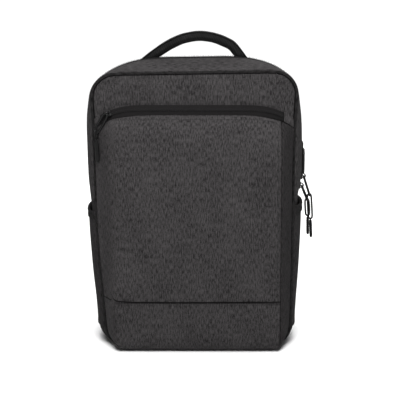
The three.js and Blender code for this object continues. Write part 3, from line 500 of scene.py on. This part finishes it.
cloth_shell("pocket_cloth", "pocket_panel", POCKET_CLOTH, front_unroll, 3, pocket_relief,
            tuck=0.0011)
cloth_shell("pocket_side_cloth", "pocket_gusset_right", SHADED_SIDE_CLOTH,
            front_unroll, 3,
            lambda co, rim: (ripple(co.z * 22, 9.1, co.y * 30) * 1.6 + 0.5) * MM, tuck=0.0011)
cloth_shell("pocket_lap_cloth", "lower_panel", POCKET_CLOTH, front_unroll, 3, lap_relief,
            reach=0.02, tuck=0.0008)
cloth_shell("garage_left_cloth", "zip_garage_left", CLOTH, flat_unroll, 2)
cloth_shell("garage_right_cloth", "zip_garage_right", CLOTH, flat_unroll, 2)
cloth_shell("pocket_zip_tape", "pocket_zip", TAPE, flat_unroll, 2)
cloth_shell("main_zip_tape", "main_zip", TAPE, gusset_unroll, 2)


# ---- Side pockets ----
def side_relief(co, rim):
    """Gathers under the elastic mouth and a slow swell."""
    mouth = SIDE_MOUTH["left" if co.x < 0 else "right"]
    gather = ripple(co.y * 60, 6.6, co.z * 8) * 0.9 * math.exp(-max(0.0, mouth - co.z) / 0.03)
    swell = ripple(co.y * 18, 3.9, co.z * 14) * 1.0
    return (gather + swell - 0.3) * MM


for side in ("left", "right"):
    cloth_shell(f"side_pocket_{side}_cloth", f"side_pocket_{side}", SHADED_SIDE_CLOTH,
                gusset_unroll, 2, side_relief)
    cloth_shell(f"side_hem_{side}_binding", f"side_pocket_hem_{side}", EDGE_CLOTH,
                gusset_unroll, 2)


# ---- Padding: back panel, handle and shoulder straps ----
def back_relief(co, rim):
    """Channels between the pads: one down the spine and two across."""
    if co.y < 0.066:
        return 0.0
    spine = math.exp(-(co.x / 0.011) ** 2)
    across = sum(math.exp(-((co.z - level - abs(co.x) * 0.12) / 0.007) ** 2)
                 for level in (0.125, 0.255))
    edge = math.exp(-rim / 0.006)
    swell = ripple(co.x * 20, 4, co.z * 20)
    return (-4.2 * max(spine, min(across, 1.0)) - 1.0 * edge + swell) * MM


def padding(name, node, levels, unroll, relief):
    piece = cloth_shell(name, node, MESH, unroll, levels, relief)
    return piece


padding("back_padding", "back_panel", 3, flat_unroll, back_relief)
padding("handle_padding", "carry_handle", 2, lambda co: (co.y, co.x + co.z * 0.5),
        lambda co, rim: ripple(co.x * 60, co.y * 40, co.z * 60) * 0.5 * MM)
for side in ("left", "right"):
    padding(f"strap_{side}_padding", f"shoulder_strap_{side}", 2, flat_unroll,
            lambda co, rim: ripple(co.x * 30, 2, co.z * 30) * 0.8 * MM)
    cloth_shell(f"strap_{side}_webbing", f"strap_webbing_{side}", WEBBING,
                flat_unroll, 2)
    cloth_shell(f"base_tab_{side}", f"webbing_tab_{side}", WEBBING, flat_unroll, 1)
cloth_shell("handle_edge_piping", "handle_piping", BINDING,
            lambda co: (co.y, co.x + co.z), 2)


# ---- Hard trim ----
def grip_moulding(pull):
    """Rubber grip with a row of rounded ridges between its plain ends."""
    shape = baked(welded(f"{pull}_grip"), 3)
    shape.normal_update()
    low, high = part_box(f"{pull}_grip")
    length = high.z - low.z
    for vert in shape.verts:
        up = (vert.co.z - low.z) / length
        ridged = smooth_step(0.10, 0.16, up) * (1 - smooth_step(0.80, 0.86, up))
        wave = math.cos(2 * math.pi * (vert.co.z - low.z) / RIDGE_PITCH)
        vert.co += vert.normal * (GRIP_SWELL + RIDGE_HEIGHT * wave * ridged)
    finished(f"{pull}_grip_moulding", shape, RUBBER, f"{pull}_grip")


def hard(name, node, material, width=0.0006):
    """Hard piece from its CAD node, with its sharp edges rounded over width."""
    shape = welded(node)
    shape.normal_update()
    sharp = [edge for edge in shape.edges
             if len(edge.link_faces) == 2 and edge.calc_face_angle() > math.radians(30)]
    bmesh.ops.bevel(shape, geom=sharp, offset=width, offset_type="OFFSET", affect="EDGES",
                    segments=2, profile=0.5, material=-1, clamp_overlap=True)
    shape.normal_update()
    return finished(name, shape, material, node)


for side in ("left", "right"):
    hard(f"ladder_lock_{side}_moulding", f"ladder_lock_{side}", PLASTIC)
hard("socket_moulding", "socket_housing", PLASTIC, 0.0004)
cloth_shell("socket_flap_cloth", "socket_flap", DARK_CLOTH, gusset_unroll, 2)
for pull in ("pocket_pull", "main_pull_lower", "main_pull_upper"):
    hard(f"{pull}_slider_body", f"{pull}_slider", METAL, 0.0005)
    for part, material, slot in (("link", METAL, "black_metal"), ("cord", BINDING, "zip_tape")):
        shape = baked(welded(f"{pull}_{part}"), 2)
        shape.normal_update()
        for vert in shape.verts:
            vert.co += vert.normal * WIRE_FILL
        lay_pattern(shape, flat_unroll)
        finished(f"{pull}_{part}_round", shape, material, f"{pull}_{part}")
    grip_moulding(pull)


# ---- Rows of stitches and zip coils ----
def surface_of(*pieces):
    """Tree of finished faces, for laying trim on them."""
    shape = bmesh.new()
    for piece in pieces:
        shape.from_mesh(bpy.data.objects[piece].data)
    tree = BVHTree.FromBMesh(shape)
    shape.free()
    return tree


def laid(tree, points, towards):
    """(place, normal) where a ray towards each point from outside meets the surface."""
    found = []
    for point in points:
        way = (towards(point) if callable(towards) else Vector(towards)).normalized()
        hit, normal = tree.ray_cast(point - way * 0.05, way, 0.09)[:2]
        if hit:
            found.append((hit, normal if normal.dot(way) < 0 else -normal))
    return found


def spaced(places, pitch):
    """The places at even steps along their line, with the line's direction there."""
    out = []
    due = pitch / 2
    for (a, na), (b, nb) in zip(places, places[1:]):
        length = (b - a).length
        if length > 0.02 or length == 0:
            continue
        while due <= length:
            t = due / length
            out.append((a.lerp(b, t), na.lerp(nb, t).normalized(), (b - a).normalized()))
            due += pitch
        due -= length
    return out


def beads(name, stations, size, material, sideways=0.0, lift=0.0):
    """A small rounded bead at each station: stitches, or the turns of a coil."""
    shape = bmesh.new()
    for i, (place, normal, along) in enumerate(stations):
        across = normal.cross(along).normalized()
        ahead = across.cross(normal)
        turn = Matrix((ahead, across, normal)).transposed().to_4x4()
        off = place + normal * lift + across * (sideways if i % 2 else -sideways)
        place_here = Matrix.Translation(off) @ turn @ Matrix.Diagonal((*size, 1))
        bmesh.ops.create_icosphere(shape, subdivisions=1, radius=1, matrix=place_here)
    lay_pattern(shape, flat_unroll)
    return finished(name, shape, material)


def stitches(name, tree, lines, towards, material=THREAD):
    stations = []
    for line in lines:
        stations += spaced(laid(tree, line, towards), STITCH_PITCH)
    return beads(name, stations, STITCH, material, lift=STITCH_LIFT)


def coil(name, tree, line, towards):
    return beads(name, spaced(laid(tree, line, towards), COIL_PITCH), COIL_TURN, COIL,
                 sideways=COIL_SIDE, lift=COIL_LIFT)


def line_of(make, low, high, steps=160):
    return [Vector(make(low + (high - low) * i / steps)) for i in range(steps + 1)]


def zip_height(x):
    """Height of the pocket's zip at a place across the bag."""
    bend = max(0.0, (abs(x) - ZIP_STRAIGHT) / ZIP_BEND)
    return ZIP_HEIGHT - ZIP_FALL * min(bend, 2.0) ** 3


INTO = Vector((0, 1, 0))
OUT_OF_BACK = Vector((0, -1, 0))


def to_middle(point):
    """Direction from outside the body towards its middle, at the same depth."""
    return Vector((-point.x / 0.164, 0, -(point.z - 0.215) / 0.21))


def body_ring(y, low, turns=420):
    """Points well outside the body, over its top from the left to the right at one depth."""
    ring = []
    for i in range(turns + 1):
        angle = math.pi * (1.25 - 1.5 * i / turns)
        ring.append(Vector((0.164 * math.cos(angle) * 1.02, y, 0.215 + 0.222 * math.sin(angle))))
    return [point for point in ring if point.z > low]


def sew_pocket():
    """Stitching of the front pocket, and its zip's coil."""
    front = surface_of("front_cloth")
    pocket = surface_of("pocket_cloth")
    lap = surface_of("pocket_lap_cloth")
    stitches("zip_top_stitching", front,
             [line_of(lambda x: (x, -0.06, zip_height(x) + 0.0092), -0.128, 0.126)], INTO)
    stitches("pocket_hem_stitching", pocket,
             [line_of(lambda x: (x, -0.08, zip_height(x) - 0.0125), -0.112, 0.122)], INTO)
    stitches("lap_stitching", lap,
             [line_of(lambda x: (x, -0.10, 0.0742), -0.108, 0.121)], INTO)
    stitches("pocket_edge_stitching", pocket,
             [line_of(lambda z: (0.1232, -0.10, z), 0.085, 0.335)], INTO)
    coil("pocket_zip_coil", surface_of("pocket_zip_tape"),
         line_of(lambda x: (x, -0.07, zip_height(x)), -0.134, 0.130, 240), INTO)


def sew_gussets():
    """The main zip's coil and stitching, and the hems of the side pockets."""
    ring = body_ring(ZIP_DEPTH, 0.2)
    coil("main_zip_coil", surface_of("main_zip_tape"), ring, to_middle)
    for name, depth in ZIP_STITCHING:
        stitches(f"main_zip_stitching_{name}", surface_of(f"gusset_cloth_{name}"),
                 [body_ring(depth, 0.2)], to_middle)
    for side, hand in HANDS:
        hem = surface_of(f"side_hem_{side}_binding")
        rows = [line_of(lambda y: (hand * 0.17, y, SIDE_MOUTH[side] - drop), -0.034, 0.056, 60)
                for drop in (0.0022, 0.0098)]
        stitches(f"side_hem_{side}_stitching", hem, rows, Vector((-hand, 0, 0)))


def sew_back():
    """Stitched edges and channels of the back panel."""
    back = surface_of("back_padding")
    edges = [line_of(lambda z: (hand * (0.1415 + 0.008 * smooth_step(0, 0.2, z)), 0.09, z),
                     0.03, 0.365) for hand in (-1, 1)]
    edges.append(line_of(lambda x: (x, 0.09, 0.0115), -0.125, 0.125))
    edges += [line_of(lambda x: (x, 0.09, level + abs(x) * 0.12), -0.135, 0.135)
              for level in (0.125, 0.255)]
    edges += [line_of(lambda z: (x, 0.09, z), 0.02, 0.40) for x in (-0.0105, 0.0105)]
    stitches("back_stitching", back, edges, OUT_OF_BACK, BINDING)


def sew_straps():
    """Stitching along the shoulder straps and across their base tabs."""
    for side, hand in HANDS:
        strap = surface_of(f"strap_{side}_padding")
        rows = []
        for edge in (-1, 1):
            rows.append([Vector((hand * out * 0.164 + edge * (wide * 0.031 - 0.0052), 0.12,
                                 rise * 0.42)) for rise, out, wide in strap_stations()])
        stitches(f"strap_{side}_stitching", strap, rows, OUT_OF_BACK, THREAD)
        tab = surface_of(f"base_tab_{side}")
        low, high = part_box(f"webbing_tab_{side}")
        rows = [line_of(lambda x: (x, high.y + 0.01, z), low.x + 0.003, high.x - 0.003, 20)
                for z in (low.z + 0.0018, high.z - 0.0018)]
        stitches(f"base_tab_{side}_stitching", tab, rows, OUT_OF_BACK, THREAD)


# Down a shoulder strap: height as a share of 0.42 m, distance out as a share of 0.164 m, width
# as a share of the widest place
STRAP_LINE = ((0.925, 0.27, 0.72), (0.905, 0.275, 0.84), (0.85, 0.29, 0.95), (0.76, 0.33, 1.0),
              (0.66, 0.39, 1.0), (0.56, 0.46, 0.98), (0.46, 0.52, 0.90), (0.38, 0.56, 0.74))


def strap_stations():
    """Height, distance out and width down a shoulder strap, closely spaced."""
    found = []
    for a, b in zip(STRAP_LINE, STRAP_LINE[1:]):
        for i in range(12):
            found.append(tuple(p + (q - p) * i / 12 for p, q in zip(a, b)))
    return found


sew_pocket()
sew_gussets()
sew_back()
sew_straps()


# ---- Zip pull details ----
def slider_frame(pull):
    """Middle of the slider's outer face, the way it faces and the way across it."""
    shape = welded(f"{pull}_slider")
    shape.normal_update()
    middle = sum((v.co for v in shape.verts), Vector()) / len(shape.verts)
    wide = max(shape.faces, key=lambda face: face.calc_area())
    facing = wide.normal.copy()
    if facing.dot(outward(middle)) < 0:
        facing.negate()
    sharp = [edge for edge in shape.edges
             if edge.calc_face_angle(0) > 0.5 and abs((edge.verts[0].co - edge.verts[1].co)
                                                      .normalized().dot(facing)) < 0.2]
    longest = max(sharp, key=lambda edge: edge.calc_length())
    across = (longest.verts[0].co - longest.verts[1].co).normalized()
    shape.free()
    return middle + facing * 0.002, facing, across


def slider_bridge(pull, height):
    """Arch on the slider that the link passes under."""
    middle, facing, across = slider_frame(pull)
    along = facing.cross(across)
    shape = bmesh.new()
    made = bmesh.ops.create_circle(shape, cap_ends=False, segments=10, radius=BRIDGE_WIRE)
    for vert in made["verts"]:
        vert.co.x *= 1.3
    turn = Matrix((across, along, facing)).transposed().to_4x4()
    bmesh.ops.transform(shape, matrix=Matrix.Translation(along * BRIDGE_REACH) @ turn,
                        verts=shape.verts)
    bmesh.ops.spin(shape, geom=shape.verts[:] + shape.edges[:], cent=(0, 0, 0), axis=across,
                   angle=math.pi if along.cross(facing).dot(across) > 0 else -math.pi, steps=14,
                   use_merge=False)
    bmesh.ops.remove_doubles(shape, verts=shape.verts, dist=1e-6)
    stretch = height / BRIDGE_REACH
    for vert in shape.verts:
        up = vert.co.dot(facing)
        vert.co += facing * up * (stretch - 1) + middle - facing * 0.0004
    bmesh.ops.holes_fill(shape, edges=shape.edges, sides=0)
    bmesh.ops.recalc_face_normals(shape, faces=shape.faces)
    return finished(f"{pull}_slider_bridge", shape, METAL)


for pull, height in (("pocket_pull", 0.0055), ("main_pull_lower", 0.0046),
                     ("main_pull_upper", 0.0046)):
    slider_bridge(pull, height)


# ---- Floor and light ----
def lay_floor():
    floor = bmesh.new()
    bmesh.ops.create_grid(floor, x_segments=1, y_segments=1, size=FLOOR_HALF)
    mesh = bpy.data.meshes.new("floor")
    floor.to_mesh(mesh)
    floor.free()
    pale = Finish("pale_floor", roughness=0.9, specular=0.1)
    pale.shader.inputs["Base Color"].default_value = FLOOR_SHADE
    mesh.materials.append(pale.material)
    sheet = bpy.data.objects.new("floor", mesh)
    bpy.context.scene.collection.objects.link(sheet)


def light_studio():
    world = bpy.data.worlds.new("studio")
    world.use_nodes = True
    world.node_tree.nodes["Background"].inputs["Color"].default_value = (1, 1, 1, 1)
    world.node_tree.nodes["Background"].inputs["Strength"].default_value = WORLD_STRENGTH
    bpy.context.scene.world = world
    bpy.context.scene.view_settings.view_transform = "Standard"
    sky = bpy.data.lights.new("overhead", "SUN")
    sky.energy = OVERHEAD_POWER
    sky.angle = OVERHEAD_ANGLE
    overhead = bpy.data.objects.new("overhead", sky)
    bpy.context.scene.collection.objects.link(overhead)
    for name, place, target, size, power in LAMPS:
        light = bpy.data.lights.new(name, "AREA")
        light.size = size
        light.energy = power
        lamp = bpy.data.objects.new(name, light)
        bpy.context.scene.collection.objects.link(lamp)
        lamp.location = place
        lamp.rotation_mode = "QUATERNION"
        lamp.rotation_quaternion = (Vector(target) - Vector(place)).to_track_quat("-Z", "Y")


lay_floor()
light_studio()
